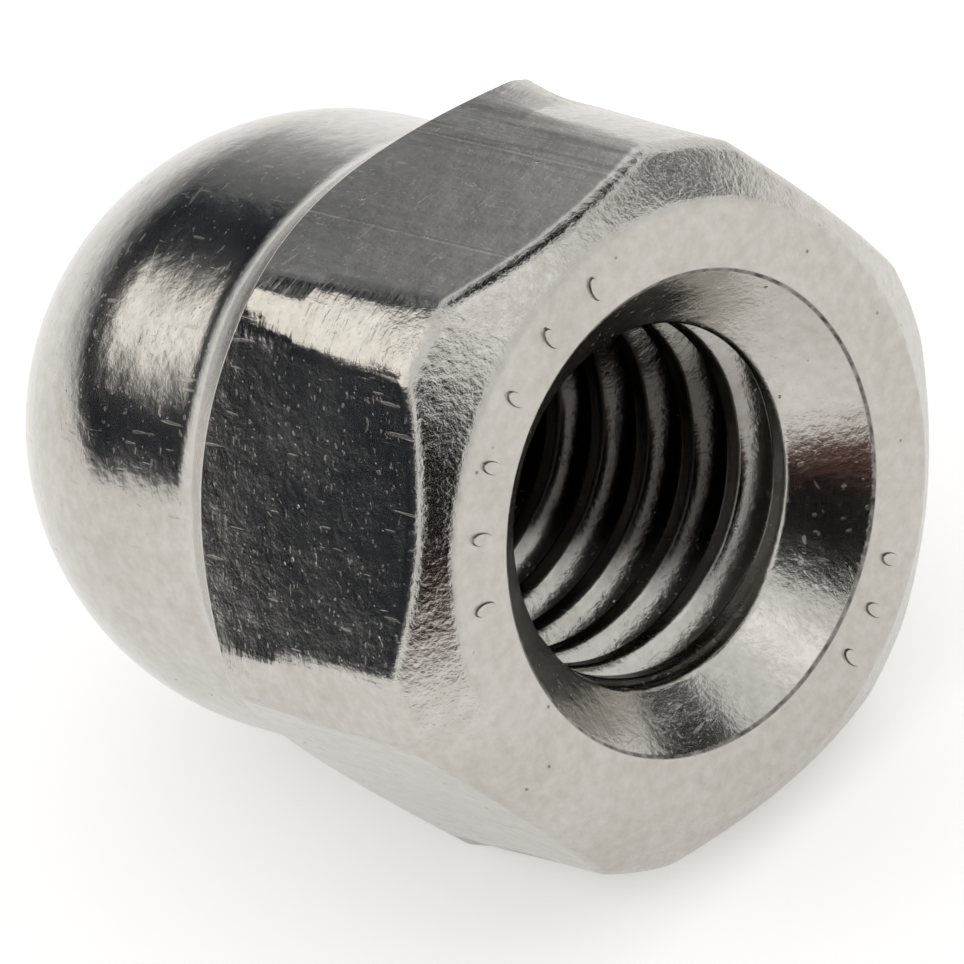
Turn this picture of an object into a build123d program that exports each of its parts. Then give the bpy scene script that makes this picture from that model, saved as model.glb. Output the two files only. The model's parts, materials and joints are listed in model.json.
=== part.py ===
from build123d import *
import math
import os

# A domed cap nut for an M5 screw, high form, cold forged in one piece from stainless steel.
# The forging is upset to a hexagon with a dome on one end, punched from the other end and tapped.
# Everything below is in millimetres and degrees.

# Hexagon
across_flats = 8.0
shoulder_corner_radius = 0.15 # round on the hexagon's six edges, level with the neck
mouth_corner_radius = 1.3    # the die fills those edges less at the mouth, so the round widens
flat_reach = 4.05            # from the bearing face to the far end of a flat, along its middle

# Mouth end
bearing_diameter = 7.25      # flat ring that seats on the work
bearing_edge_radius = 0.18
mouth_chamfer_angle = 38.0   # up from the bearing face
chamfer_fade_radius = 1.5    # the chamfer turns into the hexagon's edges along this radius
countersink_diameter = 5.7
countersink_angle = 90.0     # included
countersink_lip_radius = 0.15

# Dome end
nut_height = 10.0
dome_diameter = 7.5
shoulder_angle = 49.0        # slope of the band between the flats and the dome
neck_radius = 0.75           # hollow radius where that band runs into the dome

# Tapped hole, before its M5 x 0.8 thread is cut: the thread's crests stay at this diameter
tapping_diameter = 4.2
bore_depth = 7.5             # straight wall, from the bearing face
bore_end_angle = 150.0       # included angle of the punched end
bore_end_radius = 0.3

# Sizes that follow
apothem = across_flats / 2
sharp_corner = apothem / math.cos(math.radians(30))
dome_radius = dome_diameter / 2
dome_centre = nut_height - dome_radius
bore_radius = tapping_diameter / 2
bearing_radius = bearing_diameter / 2
countersink_radius = countersink_diameter / 2

chamfer_slope = math.tan(math.radians(mouth_chamfer_angle))
shoulder_slope = math.tan(math.radians(shoulder_angle))
countersink_depth = (countersink_radius - bore_radius) / math.tan(math.radians(countersink_angle / 2))
bore_tip = bore_depth + bore_radius / math.tan(math.radians(bore_end_angle / 2))
chamfer_end = (sharp_corner - bearing_radius) * chamfer_slope
flat_start = (apothem - bearing_radius) * chamfer_slope
shoulder_start = flat_reach - (sharp_corner - apothem) * shoulder_slope
neck_height = flat_reach + (apothem - dome_radius) * shoulder_slope


def chamfer_fade():
    """The chamfer's fade radius, or the largest that a short chamfer has room for."""
    length = math.hypot(sharp_corner - bearing_radius, chamfer_end)
    edge_length = bearing_edge_radius * math.tan(math.radians(mouth_chamfer_angle / 2))
    turn = math.radians(90 - mouth_chamfer_angle)
    return min(chamfer_fade_radius, 0.95 * (length - edge_length) / math.tan(turn / 2))


def neck_hollow():
    """The hollow's radius, or the largest that a short shoulder or dome has room for."""
    shoulder_length = (sharp_corner - dome_radius) / math.cos(math.radians(shoulder_angle))
    straight_length = dome_centre - neck_height
    turn = math.radians(90 - shoulder_angle)
    return min(neck_radius, 0.95 * min(shoulder_length, straight_length) / math.tan(turn / 2))


def half_section():
    """Half of the nut's turned section, in the plane through its axis: X is radius, Y is height."""
    tip = (0, bore_tip)
    bore_end = (bore_radius, bore_depth)
    bore_start = (bore_radius, countersink_depth)
    lip = (countersink_radius, 0)
    bearing_edge = (bearing_radius, 0)
    chamfer_top = (sharp_corner, chamfer_end)
    shoulder_foot = (sharp_corner, shoulder_start)
    neck = (dome_radius, neck_height)
    dome_start = (dome_radius, dome_centre)
    crown = (0, nut_height)

    wall = Polyline(
        tip, bore_end, bore_start, lip, bearing_edge,
        chamfer_top, shoulder_foot, neck, dome_start,
    )
    dome = CenterArc((0, dome_centre), dome_radius, 0, 90)
    section = make_face(wall + dome + Line(crown, tip))

    rounded = (
        (bore_end, bore_end_radius),
        (lip, countersink_lip_radius),
        (bearing_edge, bearing_edge_radius),
        (chamfer_top, chamfer_fade()),
        (neck, neck_hollow()),
    )
    for place, radius in rounded:
        corner = section.vertices().sort_by_distance(place)[0]
        section = fillet(corner, radius)
    return section


def rounded_hexagon(radius, height):
    """The hexagon's outline at one height. Its flats face +Y and -Y, among others."""
    outline = RegularPolygon(apothem, 6, major_radius=False)
    return Pos(Z=height) * fillet(outline.vertices(), radius)


def hexagon_prism():
    """The hexagon, taller than the nut, its round edges widening from the neck down to the mouth."""
    mouth_end = rounded_hexagon(mouth_corner_radius, 0)
    neck_end = rounded_hexagon(shoulder_corner_radius, neck_height)
    forged = loft([mouth_end, neck_end], ruled=True)
    return forged + extrude(neck_end, nut_height - neck_height)


def upright_nut():
    """The nut on its bearing face: axis on +Z, centre of the bearing face at the origin."""
    turned = revolve(Plane.XZ * half_section(), Axis.Z)
    return turned & hexagon_prism()


def lean():
    """How far the nut lying on a flat tips back, until its dome touches the table as well.

    Its weight lies just past the far end of the flat, so it rests on that end and on the dome, and
    both are then the same distance below the axis's own zero. A dome wider than the flats would
    tip it forwards instead, onto the end of the flat at the mouth.
    """
    support = flat_reach if dome_radius < apothem else flat_start
    overhang = dome_centre - support
    reach = math.hypot(apothem, overhang)
    return math.degrees(math.acos(dome_radius / reach) - math.atan2(overhang, apothem))


# As it lies: mouth to the front (-Y) and tipped up by the lean, dome to the back (+Y), with the
# centre of the bearing face still at the origin.
cap_nut = Rot(X=-(90 + lean())) * upright_nut()
cap_nut.label = "cap_nut"

os.makedirs("parts", exist_ok=True)
export_step(cap_nut, "parts/cap_nut.step")
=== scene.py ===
import json
import math

import bpy
from mathutils import Matrix, Vector


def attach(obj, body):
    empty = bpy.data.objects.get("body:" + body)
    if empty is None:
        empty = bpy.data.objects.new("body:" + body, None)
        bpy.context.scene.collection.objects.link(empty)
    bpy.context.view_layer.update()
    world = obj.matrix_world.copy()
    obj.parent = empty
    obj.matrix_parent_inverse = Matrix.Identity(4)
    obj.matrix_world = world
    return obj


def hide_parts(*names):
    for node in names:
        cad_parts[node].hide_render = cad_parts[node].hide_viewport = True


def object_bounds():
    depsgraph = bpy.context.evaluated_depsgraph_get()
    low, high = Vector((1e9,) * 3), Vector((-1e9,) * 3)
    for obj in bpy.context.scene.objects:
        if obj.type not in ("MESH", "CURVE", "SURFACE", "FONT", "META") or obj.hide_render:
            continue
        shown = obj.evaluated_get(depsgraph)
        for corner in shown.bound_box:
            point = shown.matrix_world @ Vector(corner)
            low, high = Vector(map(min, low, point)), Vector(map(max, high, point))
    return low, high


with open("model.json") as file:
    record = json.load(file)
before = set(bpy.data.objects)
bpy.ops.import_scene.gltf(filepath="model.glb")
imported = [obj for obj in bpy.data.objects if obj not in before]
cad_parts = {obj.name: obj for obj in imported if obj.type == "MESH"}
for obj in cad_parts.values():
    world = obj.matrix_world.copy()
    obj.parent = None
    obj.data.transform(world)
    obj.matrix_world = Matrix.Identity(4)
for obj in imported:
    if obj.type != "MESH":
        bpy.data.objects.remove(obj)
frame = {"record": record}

cad_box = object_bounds()


# ---- Studio -------------------------------------------------------------------------------------
# A small nut on a white table top in a white light tent. Metal shows what stands round it, so the
# tent has a few black cards and one bright window, which only reflections see.

def add(tree, kind, values=None, **settings):
    """Adds a node with its settings, and gives its inputs, by name or number, a value or a link."""
    node = tree.nodes.new(kind)
    for name, setting in settings.items():
        setattr(node, name, setting)
    for name, value in (values or {}).items():
        if isinstance(value, bpy.types.NodeSocket):
            tree.links.new(value, node.inputs[name])
        else:
            node.inputs[name].default_value = value
    return node


def linear(hex_colour, alpha=1.0):
    """An sRGB hex colour as the linear values that the shaders work in."""
    parts = [int(hex_colour[i:i + 2], 16) / 255 for i in (1, 3, 5)]
    return tuple(p / 12.92 if p <= 0.04045 else ((p + 0.055) / 1.055) ** 2.4 for p in parts) + (alpha,)


def new_material(name):
    """A material with nothing in it but its output: the material, its tree and the output node."""
    material = bpy.data.materials.new(name)
    material.use_nodes = True
    material.node_tree.nodes.clear()
    return material, material.node_tree, add(material.node_tree, "ShaderNodeOutputMaterial")


def towards(azimuth, elevation):
    """The direction out from the nut: azimuth 0 is the front (-Y), 90 its right (+X)."""
    azimuth, elevation = math.radians(azimuth), math.radians(elevation)
    flat = math.cos(elevation)
    return Vector((flat * math.sin(azimuth), -flat * math.cos(azimuth), math.sin(elevation)))


scene = bpy.context.scene
scene.view_settings.view_transform = "Standard"

low, high = Vector(cad_box[0]), Vector(cad_box[1])
centre = (low + high) / 2

# camera: a long lens, to the left of the mouth and above it, held with a slight roll
aim = Vector((0.17, 4.07, -0.96)) * 0.001
view_from = towards(-35.11, 33.81)
view_distance = 0.1305
roll = 18.08
camera_data = bpy.data.cameras.new("camera")
camera_data.lens = 413.9
camera_data.sensor_width = 36.0
camera_data.clip_start = 0.01
camera = bpy.data.objects.new("camera", camera_data)
upright = view_from.to_track_quat("Z", "Y").to_matrix().to_4x4()
camera.matrix_world = (
    Matrix.Translation(aim + view_from * view_distance) @ upright
    @ Matrix.Rotation(math.radians(-roll), 4, "Z")
)
scene.collection.objects.link(camera)
scene.camera = camera

# table top
floor_mesh = bpy.data.meshes.new("table_top")
half = 3.0
floor_corners = [(-half, -half, low.z), (half, -half, low.z), (half, half, low.z), (-half, half, low.z)]
floor_mesh.from_pydata(floor_corners, [], [(0, 1, 2, 3)])
floor = bpy.data.objects.new("table_top", floor_mesh)
scene.collection.objects.link(floor)

paper, tree, output = new_material("white_paper")
light_path = add(tree, "ShaderNodeLightPath")
sheet = add(tree, "ShaderNodeBsdfDiffuse", {"Color": linear("#F7F6F4")})
seen = add(tree, "ShaderNodeMath", {
    0: light_path.outputs["Is Camera Ray"], 1: light_path.outputs["Is Glossy Ray"],
}, operation="MAXIMUM")
# a glow that only the camera and reflections see lifts the paper to the tent's white
glow = add(tree, "ShaderNodeEmission", {"Color": (0.33, 0.33, 0.33, 1), "Strength": seen.outputs[0]})
both = add(tree, "ShaderNodeAddShader", {0: sheet.outputs[0], 1: glow.outputs[0]})
tree.links.new(both.outputs[0], output.inputs["Surface"])
floor.data.materials.append(paper)

# the tent's cloth, all round
world = bpy.data.worlds.new("tent")
scene.world = world
world.use_nodes = True
tree = world.node_tree
tree.nodes.clear()
cloth = add(tree, "ShaderNodeBackground", {"Color": linear("#FFFFFF"), "Strength": 0.85})
backdrop = add(tree, "ShaderNodeBackground", {"Color": linear("#FFFFFF"), "Strength": 1.0})
light_path = add(tree, "ShaderNodeLightPath").outputs
camera_or_glossy = add(tree, "ShaderNodeMath", {
    0: light_path["Is Camera Ray"], 1: light_path["Is Glossy Ray"],
}, operation="MAXIMUM")
seen = add(tree, "ShaderNodeMath", {
    0: camera_or_glossy.outputs[0], 1: light_path["Is Transmission Ray"],
}, operation="MAXIMUM")
shown = add(tree, "ShaderNodeMixShader", {
    "Fac": seen.outputs[0], 1: cloth.outputs[0], 2: backdrop.outputs[0],
})
tree.links.new(shown.outputs[0], add(tree, "ShaderNodeOutputWorld").inputs["Surface"])


def card(name, outline, colour, soft, strength=1.0, distance=0.4):
    """A sheet stretched between directions from the nut, seen by reflections alone. It fades out over
    the outer share `soft` of its width, so that 0 leaves it a hard edge."""
    rim = [centre + towards(azimuth, elevation) * distance for azimuth, elevation in outline]
    middle = sum(rim, Vector()) / len(rim)
    inner = [corner.lerp(middle, max(soft, 0.01)) for corner in rim]
    count = len(rim)
    border = [(i, (i + 1) % count, count + (i + 1) % count, count + i) for i in range(count)]
    mesh = bpy.data.meshes.new(name)
    mesh.from_pydata(rim + inner, [], [tuple(range(count, 2 * count))] + border)
    cover = mesh.attributes.new("cover", "FLOAT", "POINT")
    cover.data.foreach_set("value", [0.0] * count + [1.0] * count)
    made = bpy.data.objects.new(name, mesh)
    scene.collection.objects.link(made)
    surface, tree, output = new_material(name)
    shown = add(tree, "ShaderNodeMixShader", {
        "Fac": add(tree, "ShaderNodeAttribute", attribute_name="cover").outputs["Fac"],
        1: add(tree, "ShaderNodeBsdfTransparent").outputs[0],
        2: add(tree, "ShaderNodeEmission", {"Color": linear(colour), "Strength": strength}).outputs[0],
    })
    tree.links.new(shown.outputs[0], output.inputs["Surface"])
    mesh.materials.append(surface)
    made.visible_camera = False
    made.visible_diffuse = False
    made.visible_shadow = False


# behind the nut: a black card before a soft grey one, with the window in front of both
card("grey_card", [(130, 2), (134, 30), (150, 50), (180, 62), (-130, 58), (-100, 40), (-96, 2),
                   (-140, 0), (170, 4)], "#74777A", 0.5)
card("black_card", [(154, 21), (160, 38), (172, 54), (-165, 60), (-125, 56), (-96, 40), (-96, 1),
                    (-140, -5), (-158, 5), (172, 18)], "#1D222B", 0.12, distance=0.3)
card("window", [(-161, 24), (-168, 28), (-173, 33), (-176, 36), (-176, 46), (-160, 60), (-120, 60),
                (-105, 45), (-105, 30), (-145, 19), (-150, 22)],
     "#FFFDF8", 0.06, strength=1.5, distance=0.2)
# in front: the dark shape of the camera and its stand, and a smaller one to the right
card("camera_shape", [(-12, 34), (-18, 44), (-40, 50), (-60, 30), (-64, -4), (-48, -10), (-28, -8),
                      (-18, 10), (-12, 24)], "#0C0B0B", 0.25, distance=0.035)
card("side_card", [(50, 36), (62, 44), (76, 34), (86, 12), (76, 4), (60, 14)], "#1E1E1D", 0.3)
# overhead, a dark gap in the tent, and beside it one of the lamps; low in front, a warm reflection
card("roof_gap", [(84, 46), (60, 62), (20, 76), (-160, 84), (160, 68), (140, 46), (112, 38)],
     "#121212", 0.15)
card("lamp", [(4, 41), (-7, 47), (-6, 60), (20, 64), (30, 46)], "#FFFFFF", 0.2, strength=1.5)
card("warm_patch", [(-28, 0), (-35, 8), (-46, 5), (-49, -10), (-36, -13)],
     "#6B463D", 0.35, distance=0.03)


# ---- Cap nut ------------------------------------------------------------------------------------
# The whole nut is one forging in stainless steel: hexagon and dome struck from wire, the blind hole
# punched from the other end, its mouth countersunk, and an M5 x 0.8 thread tapped in it.

# The tree draws the nut's section at each angle round the axis, lofts those sections, and lays a
# helix of rows in the hole for the thread. It works upright and in millimetres, mouth down at
# height 0 and dome up, and lays the nut on the table last.
sizes = {
    "Across flats": 8.0,
    "Flat reach": 4.05,
    "Corner reach at neck": 4.55,
    "Corner reach at waist": 4.43,
    "Corner reach at mouth": 4.35,
    "Blunt corner loss": 0.08,
    "Waist height": 2.6,
    "Nut height": 10.0,
    "Dome diameter": 7.5,
    "Shoulder angle": 49.0,
    "Neck rise": 0.5,
    "Neck radius": 1.0,
    "Bearing diameter": 7.25,
    "Mouth chamfer angle": 38.0,
    "Countersink diameter": 5.7,
    "Crest diameter": 4.2,
    "Thread pitch": 0.8,
    "Bore depth": 7.5,
    "Bore end drop": 0.563,
    "Mark radius": 3.25,
}
COLUMNS = 300            # sections round the axis
CROWDING = -0.5          # they stand closer together at the hexagon's corners
ROWS_PER_TURN = 20
HELIX_TOP = 0.3          # the countersink is still wider than the thread's roots here
HELIX_END = 7.1
RUN_IN = (0.55, 1.2)     # between these heights the thread deepens to its full depth
RUN_OUT = (6.3, 7.05)    # and between these the tap's taper leaves it shallower
THIRTY = math.radians(30)

nut_tree = bpy.data.node_groups.new("cap_nut", "GeometryNodeTree")
nut_tree.interface.new_socket("Geometry", in_out="INPUT", socket_type="NodeSocketGeometry")
for name, size in sizes.items():
    socket = nut_tree.interface.new_socket(name, in_out="INPUT", socket_type="NodeSocketFloat")
    socket.default_value = size
nut_tree.interface.new_socket("Finish", in_out="INPUT", socket_type="NodeSocketMaterial")
nut_tree.interface.new_socket("Geometry", in_out="OUTPUT", socket_type="NodeSocketGeometry")
given = add(nut_tree, "NodeGroupInput").outputs
column = add(nut_tree, "GeometryNodeInputNamedAttribute", {"Name": "column"}, data_type="FLOAT")
index = add(nut_tree, "GeometryNodeInputIndex").outputs["Index"]


def work_out(tree, known, steps):
    """Adds a node for each step: its result's name, the operation and what it works on. FADE goes
    smoothly from 0 to 1 between two values; every other operation is a Math node's."""
    for name, operation, *terms in steps:
        if operation == "FADE":
            node = add(tree, "ShaderNodeMapRange", interpolation_type="SMOOTHSTEP")
        else:
            node = add(tree, "ShaderNodeMath", operation=operation)
        for socket, term in zip(node.inputs, terms):
            value = known.get(term, term) if isinstance(term, str) else term
            if isinstance(value, bpy.types.NodeSocket):
                tree.links.new(value, socket)
            else:
                socket.default_value = value
        known[name] = node.outputs[0]


known = {name: given[name] for name in sizes}
known["column"] = column.outputs["Attribute"]
known["index"] = index
work_out(nut_tree, known, [
    ("turn", "DIVIDE", "column", float(COLUMNS)),
    ("even angle", "MULTIPLY", "turn", math.tau),
    ("six times", "MULTIPLY", "even angle", 6.0),
    ("wave", "SINE", "six times"),
    ("angle", "MULTIPLY_ADD", "wave", CROWDING / 6, "even angle"),
    ("cos angle", "COSINE", "angle"),
    ("sin angle", "SINE", "angle"),
    # angle from the middle of the nearest flat, and from the nearest corner
    ("from first flat", "SUBTRACT", "angle", THIRTY),
    ("from flat", "WRAP", "from first flat", THIRTY, -THIRTY),
    ("off flat", "ABSOLUTE", "from flat"),
    ("cos off flat", "COSINE", "off flat"),
    ("apothem", "MULTIPLY", "Across flats", 0.5),
    ("flat distance", "DIVIDE", "apothem", "cos off flat"),
    ("shoulder angle", "RADIANS", "Shoulder angle"),
    ("shoulder slope", "TANGENT", "shoulder angle"),
    ("chamfer angle", "RADIANS", "Mouth chamfer angle"),
    ("chamfer slope", "TANGENT", "chamfer angle"),
    ("dome radius", "MULTIPLY", "Dome diameter", 0.5),
    ("bearing radius", "MULTIPLY", "Bearing diameter", 0.5),
    ("countersink radius", "MULTIPLY", "Countersink diameter", 0.5),
    ("crest radius", "MULTIPLY", "Crest diameter", 0.5),
    ("neck height", "ADD", "Flat reach", "Neck rise"),
    # one corner filled the die least, though not at its neck
    ("off blunt corner", "ADD", "angle", 2 * THIRTY),
    ("cos off blunt", "COSINE", "off blunt corner"),
    ("blunt", "FADE", "cos off blunt", 0.8, 0.94),
])

# how far out the hexagon is at this angle: the steel never filled the die's corners, which leaves
# a narrow face between two flats, wider towards the mouth
for level in ("neck", "waist", "mouth"):
    work_out(nut_tree, known, [
        (f"{level} blunt", "MULTIPLY", "blunt", 0.0 if level == "neck" else "Blunt corner loss"),
        (f"{level} corner", "SUBTRACT", f"Corner reach at {level}", f"{level} blunt"),
        (f"{level} reach", "SMOOTH_MIN", "flat distance", f"{level} corner", 0.015),
    ])
work_out(nut_tree, known, [
    ("shoulder past flat", "SUBTRACT", "neck reach", "apothem"),
    ("shoulder fall", "MULTIPLY", "shoulder past flat", "shoulder slope"),
    ("shoulder height", "SUBTRACT", "Flat reach", "shoulder fall"),
    ("mouth past ring", "SUBTRACT", "mouth reach", "bearing radius"),
    ("mouth height", "MULTIPLY", "mouth past ring", "chamfer slope"),
    ("countersink at helix", "SUBTRACT", "countersink radius", HELIX_TOP),
])


def numbered(geometry, per_column):
    """Stores each point's column in the geometry, and keeps its row in that column."""
    work_out(nut_tree, known, [
        (f"column of {per_column}", "DIVIDE", "index", float(per_column)),
        (f"whole column of {per_column}", "FLOOR", f"column of {per_column}"),
        (f"row of {per_column}", "MODULO", "index", float(per_column)),
    ])
    return add(nut_tree, "GeometryNodeStoreNamedAttribute", {
        "Geometry": geometry, "Name": "column", "Value": known[f"whole column of {per_column}"],
    }, data_type="FLOAT", domain="POINT").outputs[0]


def at(radius, height):
    """The place at this radius and height, at the column's angle."""
    work_out(nut_tree, known, [
        ("place x", "MULTIPLY", radius, "cos angle"),
        ("place y", "MULTIPLY", radius, "sin angle"),
    ])
    return add(nut_tree, "ShaderNodeCombineXYZ", {
        "X": known["place x"], "Y": known["place y"], "Z": known[height],
    }).outputs[0]


def lofted(corners):
    """Lofts one stretch of the section: corners are (radius, height, fillet radius, fillet steps)."""
    count = len(corners)
    points = add(nut_tree, "GeometryNodePoints", {"Count": (COLUMNS + 1) * count}).outputs[0]
    points = numbered(points, count)
    radii, heights, fillets, steps = zip(*corners)
    for name, values, data_type in (
        ("corner radius", radii, "FLOAT"),
        ("corner height", heights, "FLOAT"),
        ("fillet radius", fillets, "FLOAT"),
        ("fillet steps", steps, "INT"),
    ):
        pick = add(nut_tree, "GeometryNodeIndexSwitch", {
            "Index": known[f"row of {count}"],
        }, data_type=data_type)
        while len(pick.index_switch_items) < count:
            pick.index_switch_items.new()
        for socket, value in zip(list(pick.inputs)[1:], values):
            if isinstance(value, str):
                nut_tree.links.new(known[value], socket)
            else:
                socket.default_value = value
        known[name] = pick.outputs[0]
    placed = add(nut_tree, "GeometryNodeSetPosition", {
        "Geometry": points, "Position": at("corner radius", "corner height"),
    }).outputs[0]
    lines = add(nut_tree, "GeometryNodePointsToCurves", {
        "Points": placed, "Curve Group ID": known[f"whole column of {count}"], "Weight": index,
    }).outputs[0]
    rounded = add(nut_tree, "GeometryNodeFilletCurve", {
        "Curve": lines, "Count": known["fillet steps"], "Radius": known["fillet radius"],
        "Limit Radius": True,
    }, mode="POLY").outputs[0]
    rows = 2 + sum(step + 1 for step in steps[1:-1])
    grid = add(nut_tree, "GeometryNodeMeshGrid", {"Vertices X": COLUMNS + 1, "Vertices Y": rows})
    sampled = add(nut_tree, "GeometryNodeSampleIndex", {
        "Geometry": rounded, "Index": index,
        "Value": add(nut_tree, "GeometryNodeInputPosition").outputs[0],
    }, data_type="FLOAT_VECTOR", domain="POINT").outputs[0]
    return add(nut_tree, "GeometryNodeSetPosition", {
        "Geometry": numbered(grid.outputs[0], rows), "Position": sampled,
    }).outputs[0]


outside = lofted([
    ("countersink at helix", HELIX_TOP, 0.0, 1),
    ("countersink radius", 0.0, 0.15, 5),
    ("bearing radius", 0.0, 0.18, 5),
    ("mouth reach", "mouth height", 0.35, 8),
    ("waist reach", "Waist height", 1.5, 5),
    ("neck reach", "shoulder height", 0.06, 4),
    ("dome radius", "neck height", "Neck radius", 6),
    ("dome radius", "Nut height", "dome radius", 44),
    (0.0, "Nut height", 0.0, 1),
])
work_out(nut_tree, known, [("tip height", "ADD", "Bore depth", "Bore end drop")])
hole_end = lofted([
    (0.0, "tip height", 0.0, 1),
    ("crest radius", "Bore depth", 0.3, 5),
    ("crest radius", HELIX_END, 0.0, 1),
])

# the thread: rows that climb one pitch a turn, cut off square at both ends. Its flanks, 60 degrees
# apart, sink from a flat crest to a narrower root, and both are rounded off.
turns = (HELIX_END - HELIX_TOP) / sizes["Thread pitch"] + 1
thread_rows = math.ceil(turns * ROWS_PER_TURN) + 1
grid = add(nut_tree, "GeometryNodeMeshGrid", {"Vertices X": COLUMNS + 1, "Vertices Y": thread_rows})
rows = numbered(grid.outputs[0], thread_rows)
work_out(nut_tree, known, [
    ("row drop", "DIVIDE", "Thread pitch", float(ROWS_PER_TURN)),
    ("dropped", "MULTIPLY", f"row of {thread_rows}", "row drop"),
    ("climb", "MULTIPLY", "turn", "Thread pitch"),
    ("start", "ADD", "climb", HELIX_END),
    ("free height", "SUBTRACT", "start", "dropped"),
    ("not past end", "MINIMUM", "free height", HELIX_END),
    ("thread height", "MAXIMUM", "not past end", HELIX_TOP),
    # where in the thread's own form this height is: 0 on a crest, half a pitch on a root
    ("above helix", "SUBTRACT", "thread height", "climb"),
    ("half pitch", "MULTIPLY", "Thread pitch", 0.5),
    ("off crest", "PINGPONG", "above helix", "half pitch"),
    ("crest half width", "MULTIPLY", "Thread pitch", 0.15),
    ("past crest", "SUBTRACT", "off crest", "crest half width"),
    ("flank", "MULTIPLY", "past crest", math.tan(math.radians(60))),
    ("full depth", "MULTIPLY", "Thread pitch", 0.3 * math.tan(math.radians(60))),
    ("flank to root", "SMOOTH_MIN", "flank", "full depth", 0.08),
    ("groove", "SMOOTH_MAX", "flank to root", 0.0, 0.08),
])
run_out = add(nut_tree, "ShaderNodeMapRange", {
    "Value": known["thread height"], "From Min": RUN_OUT[0], "From Max": RUN_OUT[1],
    "To Min": 1.0, "To Max": 0.0,
}, interpolation_type="SMOOTHSTEP")
known["run out"] = run_out.outputs["Result"]
work_out(nut_tree, known, [
    ("run in", "FADE", "thread height", *RUN_IN),
    ("depth share", "MULTIPLY", "run out", "run in"),
    ("thread radius", "MULTIPLY_ADD", "groove", "depth share", "crest radius"),
    ("countersink here", "SUBTRACT", "countersink radius", "thread height"),
    ("hole radius", "SMOOTH_MAX", "thread radius", "countersink here", 0.03),
])
thread = add(nut_tree, "GeometryNodeSetPosition", {
    "Geometry": rows, "Position": at("hole radius", "thread height"),
}).outputs[0]

joined = add(nut_tree, "GeometryNodeJoinGeometry")
for part in (hole_end, thread, outside):
    nut_tree.links.new(part, joined.inputs[0])
closed = add(nut_tree, "GeometryNodeMergeByDistance", {"Geometry": joined.outputs[0], "Distance": 0.002})

# small raised bars struck on the bearing ring: flat-topped ovals 0.4 by 0.2 mm at the foot, which is
# sunk in the steel, so that they stand 0.04 mm out of the ring
BAR_SCALE = (0.2, 0.1, 0.1)
BAR_FOOT = 0.06
BAR_TOP = BAR_FOOT - BAR_SCALE[2]
BAR_ROWS = ((6, 195, 14.5), (3, 44, 11.0))      # how many, the first one's angle, degrees to the next
bar = add(nut_tree, "GeometryNodeMeshCone", {
    "Vertices": 24, "Radius Top": 0.7, "Radius Bottom": 1.0, "Depth": 1.0,
}).outputs[0]
bar = add(nut_tree, "GeometryNodeTransform", {
    "Geometry": bar, "Translation": (0, 0, BAR_FOOT), "Rotation": (math.pi, 0, 0),
    "Scale": BAR_SCALE,
}).outputs[0]
smooth = add(nut_tree, "GeometryNodeSetShadeSmooth", {
    "Geometry": closed.outputs[0], "Shade Smooth": True,
})
whole = add(nut_tree, "GeometryNodeJoinGeometry")
nut_tree.links.new(smooth.outputs[0], whole.inputs[0])
for count, first, step in BAR_ROWS:
    work_out(nut_tree, known, [
        ("bar angle", "MULTIPLY_ADD", "index", math.radians(step), math.radians(first)),
        ("bar cos", "COSINE", "bar angle"),
        ("bar sin", "SINE", "bar angle"),
        ("bar x", "MULTIPLY", "bar cos", "Mark radius"),
        ("bar y", "MULTIPLY", "bar sin", "Mark radius"),
    ])
    on_ring = add(nut_tree, "ShaderNodeCombineXYZ", {"X": known["bar x"], "Y": known["bar y"]})
    bar_places = add(nut_tree, "GeometryNodePoints", {"Count": count, "Position": on_ring.outputs[0]})
    turned = add(nut_tree, "ShaderNodeCombineXYZ", {"Z": known["bar angle"]})
    bars = add(nut_tree, "GeometryNodeInstanceOnPoints", {
        "Points": bar_places.outputs[0], "Instance": bar, "Rotation": turned.outputs[0],
    }).outputs[0]
    loose = add(nut_tree, "GeometryNodeRealizeInstances", {"Geometry": bars}).outputs[0]
    nut_tree.links.new(loose, whole.inputs[0])

# every point's place on the upright nut is noted for the steel's patterns, then the nut is laid down
# on a flat's far edge and on its dome, which tips its mouth up by the lean
noted = add(nut_tree, "GeometryNodeStoreNamedAttribute", {
    "Geometry": whole.outputs[0], "Name": "nut_place",
    "Value": add(nut_tree, "GeometryNodeInputPosition").outputs[0],
}, data_type="FLOAT_VECTOR", domain="POINT")
mouth_axis = Vector(next(m["axis"] for m in frame["record"]["mounts"] if m["name"] == "thread"))
lean = math.asin(mouth_axis.z)
laid = add(nut_tree, "GeometryNodeTransform", {
    "Geometry": noted.outputs[0], "Rotation": (-(math.pi / 2 + lean), 0, 0), "Scale": (0.001,) * 3,
})
real = add(nut_tree, "GeometryNodeRealizeInstances", {"Geometry": laid.outputs[0]})
finished = add(nut_tree, "GeometryNodeSetMaterial", {
    "Geometry": real.outputs[0], "Material": given["Finish"],
})
nut_tree.links.new(finished.outputs[0], add(nut_tree, "NodeGroupOutput").inputs[0])

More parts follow.
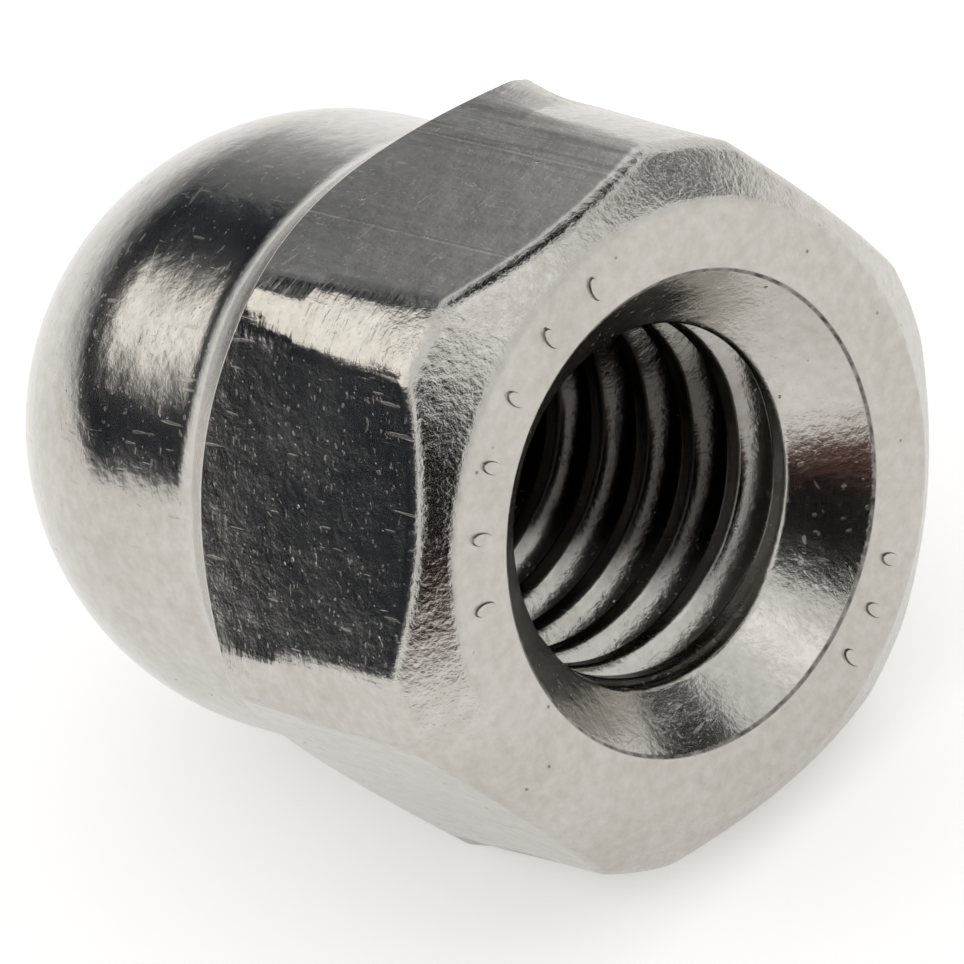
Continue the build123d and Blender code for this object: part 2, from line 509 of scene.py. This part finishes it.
# Stainless steel, forged and barrel-polished: a slightly warm grey mirror whose fine grain, pits and
# scratches break up what it mirrors, duller on the faced ring, dark with a film of oil in the hole, and
# with painted shade deeper in the thread and on the bars' sides.
half_flats = sizes["Across flats"] / 2
flats_end = sizes["Flat reach"]
lip = sizes["Countersink diameter"] / 2
hole_tip = sizes["Bore depth"] + sizes["Bore end drop"]
steel, tree, output = new_material("stainless_steel_forged")
place = add(tree, "ShaderNodeAttribute", attribute_name="nut_place").outputs["Vector"]
axes = add(tree, "ShaderNodeSeparateXYZ", {"Vector": place}).outputs
look = {"x": axes["X"], "y": axes["Y"], "z": axes["Z"]}
work_out(tree, look, [
    ("x square", "MULTIPLY", "x", "x"),
    ("square", "MULTIPLY_ADD", "y", "y", "x square"),
    ("radius", "SQRT", "square"),
    # distance from the axis, measured square to the nearest flat
    ("half y", "MULTIPLY", "y", 0.5),
    ("one pair", "MULTIPLY_ADD", "x", math.cos(THIRTY), "half y"),
    ("other pair", "MULTIPLY_ADD", "x", -math.cos(THIRTY), "half y"),
    ("one side", "ABSOLUTE", "one pair"),
    ("other side", "ABSOLUTE", "other pair"),
    ("top side", "ABSOLUTE", "y"),
    ("wider", "MAXIMUM", "one side", "other side"),
    ("hexagon", "MAXIMUM", "wider", "top side"),
    # and square to the second nearest, which is as far out only at a corner
    ("all sides", "ADD", "one side", "other side"),
    ("sum of sides", "ADD", "all sides", "top side"),
    ("narrower", "MINIMUM", "one side", "other side"),
    ("least", "MINIMUM", "narrower", "top side"),
    ("upper two", "SUBTRACT", "sum of sides", "least"),
    ("second", "SUBTRACT", "upper two", "hexagon"),
    ("corner start", "FADE", "second", 3.35, 3.75),
    ("short of dome", "FADE", "z", flats_end + 0.25, flats_end - 0.05),
    ("past chamfer", "FADE", "z", 0.75, 1.1),
    ("on sides", "MULTIPLY", "short of dome", "past chamfer"),
    ("corner", "MULTIPLY", "corner start", "on sides"),
    # which surface this is, from 0 to 1
    ("flat", "FADE", "hexagon", half_flats - 0.05, half_flats - 0.008),
    ("dome", "FADE", "z", flats_end + 0.15, flats_end + 0.4),
    ("outside", "FADE", "radius", lip - 0.01, lip + 0.05),
    ("ring height", "FADE", "z", 0.06, 0.01),
    ("ring", "MULTIPLY", "ring height", "outside"),
    ("inside", "SUBTRACT", 1.0, "outside"),
    ("below tip", "FADE", "z", hole_tip + 0.3, hole_tip + 0.2),
    ("hole", "MULTIPLY", "inside", "below tip"),
    # painted shade lies in the hole past the thread's first turn, darker deeper in, more of it in the
    # upper right, and most in a band there
    ("deep", "FADE", "z", 0.7, 2.2),
    ("hole deep", "MULTIPLY", "hole", "deep"),
    ("thread shade high", "FADE", "y", 2.3, 1.8),
    ("thread shade right", "FADE", "x", -0.6, 0.8),
    ("thread shade above", "MULTIPLY", "thread shade high", "thread shade right"),
    ("thread shade below", "FADE", "y", -1.0, 0.2),
    ("thread shade band", "MULTIPLY", "thread shade above", "thread shade below"),
    ("thread shade upper", "MULTIPLY_ADD", "thread shade above", 0.35, 0.03),
    ("thread shade share", "MULTIPLY_ADD", "thread shade band", 0.5, "thread shade upper"),
    # the mouth chamfer is what lies near the mouth, outside the hole, on neither a flat nor the ring
    ("near mouth", "FADE", "z", 1.5, 0.9),
    ("not flat", "SUBTRACT", 1.0, "flat"),
    ("not ring", "SUBTRACT", 1.0, "ring"),
    ("mouth side", "MULTIPLY", "near mouth", "not flat"),
    ("chamfer and ring", "MULTIPLY", "mouth side", "outside"),
    ("chamfer", "MULTIPLY", "chamfer and ring", "not ring"),
])

# Noises, in waves a millimetre; a stretch below 1 draws one out along that axis. The forging's real
# grain is about 0.02 mm and its scratches 0.01 mm wide, too fine to show, so the grain is drawn at
# 0.07 mm and the scratches at 0.08 mm.
for name, waves, detail, roughness, stretch, turned in (
    # patches of polish 1.4 mm across, the forging's unevenness at 0.6 mm, and stains at 0.17 mm
    ("cloud", 0.7, 4.0, 0.5, (1.0, 1.0, 1.0), (0.0, 0.0, 0.0)),
    ("swell", 1.6, 2.0, 0.5, (1.0, 1.0, 1.0), (0.0, 0.0, 0.0)),
    ("mottle", 6.0, 4.0, 0.6, (1.0, 1.0, 1.0), (0.0, 0.0, 0.0)),
    # dents from tumbling 0.2 mm across, and the grain
    ("ripple", 5.0, 3.0, 0.5, (1.0, 1.0, 1.0), (0.0, 0.0, 0.0)),
    ("grain", 14.0, 4.0, 0.6, (1.0, 1.0, 1.0), (0.0, 0.0, 0.0)),
    # the die's marks across the corners and its lines along the flats, 0.1 mm apart
    ("die marks", 9.0, 3.0, 0.5, (0.25, 0.25, 1.0), (0.0, 0.0, 0.0)),
    ("drawn", 9.0, 4.0, 0.5, (1.0, 1.0, 0.05), (0.0, 0.0, 0.0)),
    # three sets of fine scratches, each its own way
    ("scratch one", 13.0, 1.0, 0.5, (1.0, 1.0, 0.13), (0.5, 0.35, 0.0)),
    ("scratch two", 13.0, 1.0, 0.5, (0.15, 1.0, 1.0), (0.0, 0.45, 0.6)),
    ("scratch three", 14.0, 1.0, 0.5, (1.0, 0.2, 1.0), (0.7, 0.0, 0.3)),
):
    mapped = add(tree, "ShaderNodeMapping", {"Vector": place, "Rotation": turned, "Scale": stretch})
    look[name] = add(tree, "ShaderNodeTexNoise", {
        "Vector": mapped.outputs[0], "Scale": waves, "Detail": detail, "Roughness": roughness,
    }).outputs["Fac"]

# cells 0.3 mm wide for the pits and 0.09 mm wide for the flats' nicks: chance leaves most of them empty
for name, waves in (("pit", 3.2), ("nick", 11.0)):
    cells = add(tree, "ShaderNodeTexVoronoi", {"Vector": place, "Scale": waves}).outputs
    chance = add(tree, "ShaderNodeSeparateColor", {"Color": cells["Color"]}).outputs["Red"]
    look[f"{name} distance"] = cells["Distance"]
    look[f"{name} chance"] = chance

work_out(tree, look, [
    ("thin one", "FADE", "scratch one", 0.71, 0.74),
    ("thin two", "FADE", "scratch two", 0.71, 0.74),
    ("thin three", "FADE", "scratch three", 0.7, 0.74),
    ("two sets", "MAXIMUM", "thin one", "thin two"),
    ("scratches", "MAXIMUM", "two sets", "thin three"),
    ("pit dent", "FADE", "pit distance", 0.1, 0.03),
    ("pit picked", "FADE", "pit chance", 0.76, 0.78),
    ("pits", "MULTIPLY", "pit dent", "pit picked"),
    ("nick dent", "FADE", "nick distance", 0.22, 0.08),
    ("nick picked", "FADE", "nick chance", 0.66, 0.68),
    ("nicks", "MULTIPLY", "nick dent", "nick picked"),
    ("nicks on flats", "MULTIPLY", "nicks", "flat"),
    # the die's lines crowd the right half of the flat that lies on top
    ("top half", "FADE", "y", 0.1 - half_flats, 0.02 - half_flats),
    ("to the right", "FADE", "x", 0.5, 1.1),
    ("drawn right", "MULTIPLY", "to the right", "top half"),
    ("drawn share", "MULTIPLY_ADD", "drawn right", 0.85, 0.15),
    ("drawn flat", "MULTIPLY", "drawn share", "flat"),
    # two long scratches on that flat
    ("off long", "SUBTRACT", "x", -0.75),
    ("off long size", "ABSOLUTE", "off long"),
    ("long one", "FADE", "off long size", 0.03, 0.008),
    ("off short", "SUBTRACT", "x", 0.98),
    ("off short size", "ABSOLUTE", "off short"),
    ("long two", "FADE", "off short size", 0.03, 0.008),
    ("both long", "MAXIMUM", "long one", "long two"),
    ("broken", "FADE", "mottle", 0.25, 0.55),
    ("long on top", "MULTIPLY", "both long", "top half"),
    ("long scratches", "MULTIPLY", "long on top", "broken"),
    # heights in millimetres
    ("grain share", "MULTIPLY_ADD", "chamfer", 1.6, 1.0),
    ("grain on ring", "MULTIPLY_ADD", "ring", 0.3, "grain share"),
    ("grain on dome", "MULTIPLY_ADD", "dome", -0.65, "grain on ring"),
    ("grain less", "MULTIPLY_ADD", "flat", -0.35, "grain on dome"),
    ("grain depth", "MULTIPLY", "grain less", 0.0042),
    ("grain height", "MULTIPLY", "grain", "grain depth"),
    ("ripple share", "MULTIPLY_ADD", "chamfer", 2.0, 1.0),
    ("ripple depth", "MULTIPLY", "ripple share", 0.004),
    ("ripple height", "MULTIPLY_ADD", "ripple", "ripple depth", "grain height"),
    ("swell height", "MULTIPLY_ADD", "swell", 0.012, "ripple height"),
    ("drawn depth", "MULTIPLY", "drawn flat", 0.004),
    ("die depth", "MULTIPLY", "corner", 0.012),
    ("die height", "MULTIPLY_ADD", "die marks", "die depth", "swell height"),
    ("drawn height", "MULTIPLY_ADD", "drawn", "drawn depth", "die height"),
    ("scratched", "MULTIPLY_ADD", "scratches", -0.0006, "drawn height"),
    ("nicked", "MULTIPLY_ADD", "nicks on flats", -0.001, "scratched"),
    ("pitted", "MULTIPLY_ADD", "pits", -0.006, "nicked"),
    ("height", "MULTIPLY_ADD", "long scratches", -0.0012, "pitted"),
    # roughness
    ("rough ring", "MULTIPLY_ADD", "ring", 0.16, 0.13),
    ("rough cloud", "MULTIPLY_ADD", "cloud", 0.08, "rough ring"),
    ("roughness", "MULTIPLY_ADD", "scratches", 0.1, "rough cloud"),
    # how dark: a dark line where the ring turns into the countersink, painted shade on the sides of the
    # bars, pits, and oil with painted shade in the thread
    ("off lip", "SUBTRACT", "radius", lip - 0.01),
    ("off lip size", "ABSOLUTE", "off lip"),
    ("lip line", "FADE", "off lip size", 0.035, 0.01),
    ("lip mouth", "FADE", "z", 0.3, 0.2),
    ("lip dark line", "MULTIPLY", "lip line", "lip mouth"),
    # painted shade on the bars' side walls, between their foot and their flat top
    ("above foot", "FADE", "z", -0.004, -0.014),
    ("below top", "FADE", "z", BAR_TOP + 0.001, BAR_TOP + 0.01),
    ("painted bar side shade", "MULTIPLY", "above foot", "below top"),
    ("lip line and bar shade", "MAXIMUM", "lip dark line", "painted bar side shade"),
    ("patchy", "MULTIPLY_ADD", "mottle", 1.6, -0.1),
    ("patchy lip line and bar shade", "MULTIPLY", "lip line and bar shade", "patchy"),
    # painted shade deep in the thread and on its upper right side, over a thin film of oil in the whole
    # hole
    ("painted thread shade", "MULTIPLY", "hole deep", "thread shade share"),
    ("oil film", "MULTIPLY", "hole", 0.04),
    ("oil and thread shade", "MAXIMUM", "painted thread shade", "oil film"),
    ("pit dark", "MULTIPLY", "pits", 0.6),
    ("dark spots", "MAXIMUM", "oil and thread shade", "pit dark"),
    ("dark", "MAXIMUM", "dark spots", "patchy lip line and bar shade"),
    # how light the clean metal is
    ("mottle share", "MULTIPLY", "mottle", 0.6),
    ("mottled", "MULTIPLY_ADD", "cloud", 0.4, "mottle share"),
    ("plain shade", "FADE", "mottled", 0.2, 0.8),
    ("streak", "MULTIPLY_ADD", "drawn", 5.0, -2.5),
    ("streaks", "MULTIPLY", "streak", "drawn flat"),
    ("streaked", "ADD", "plain shade", "streaks"),
    ("shade", "ADD", "streaked", "long scratches"),
])
metal = add(tree, "ShaderNodeMix", {
    "Factor": look["shade"], 6: linear("#AFABA3"), 7: linear("#C9C6C1"),
}, data_type="RGBA")
# the dark colour for pits, the lip line and oil, and for painted shade in the thread and on the bars'
# sides
marked_and_shaded = add(tree, "ShaderNodeMix", {
    "Factor": look["dark"], 6: metal.outputs[2], 7: linear("#241D18"),
}, data_type="RGBA")
# the heights are in millimetres, and the scene in metres
relief = add(tree, "ShaderNodeBump", {"Height": look["height"], "Strength": 1.0, "Distance": 0.001})
body = add(tree, "ShaderNodeBsdfPrincipled", {
    "Base Color": marked_and_shaded.outputs[2], "Metallic": 1.0, "Roughness": look["roughness"],
    "Normal": relief.outputs[0],
})
tree.links.new(body.outputs[0], output.inputs["Surface"])

seed = bpy.data.objects.new("nut_seed", bpy.data.meshes.new("nut_seed"))
scene.collection.objects.link(seed)
modifier = seed.modifiers.new("nut", "NODES")
modifier.node_group = nut_tree
for item in nut_tree.interface.items_tree:
    if item.item_type == "SOCKET" and item.in_out == "INPUT" and item.name in sizes:
        modifier[item.identifier] = sizes[item.name]
    elif item.item_type == "SOCKET" and item.in_out == "INPUT" and item.name == "Finish":
        modifier[item.identifier] = steel
evaluated = seed.evaluated_get(bpy.context.evaluated_depsgraph_get())
nut_mesh = bpy.data.meshes.new_from_object(evaluated)
nut_mesh.name = "cap_nut_forged"
seed.modifiers.remove(modifier)
bpy.data.objects.remove(seed)
nut = bpy.data.objects.new("cap_nut_forged", nut_mesh)
scene.collection.objects.link(nut)
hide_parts("cap_nut")
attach(nut, "root")
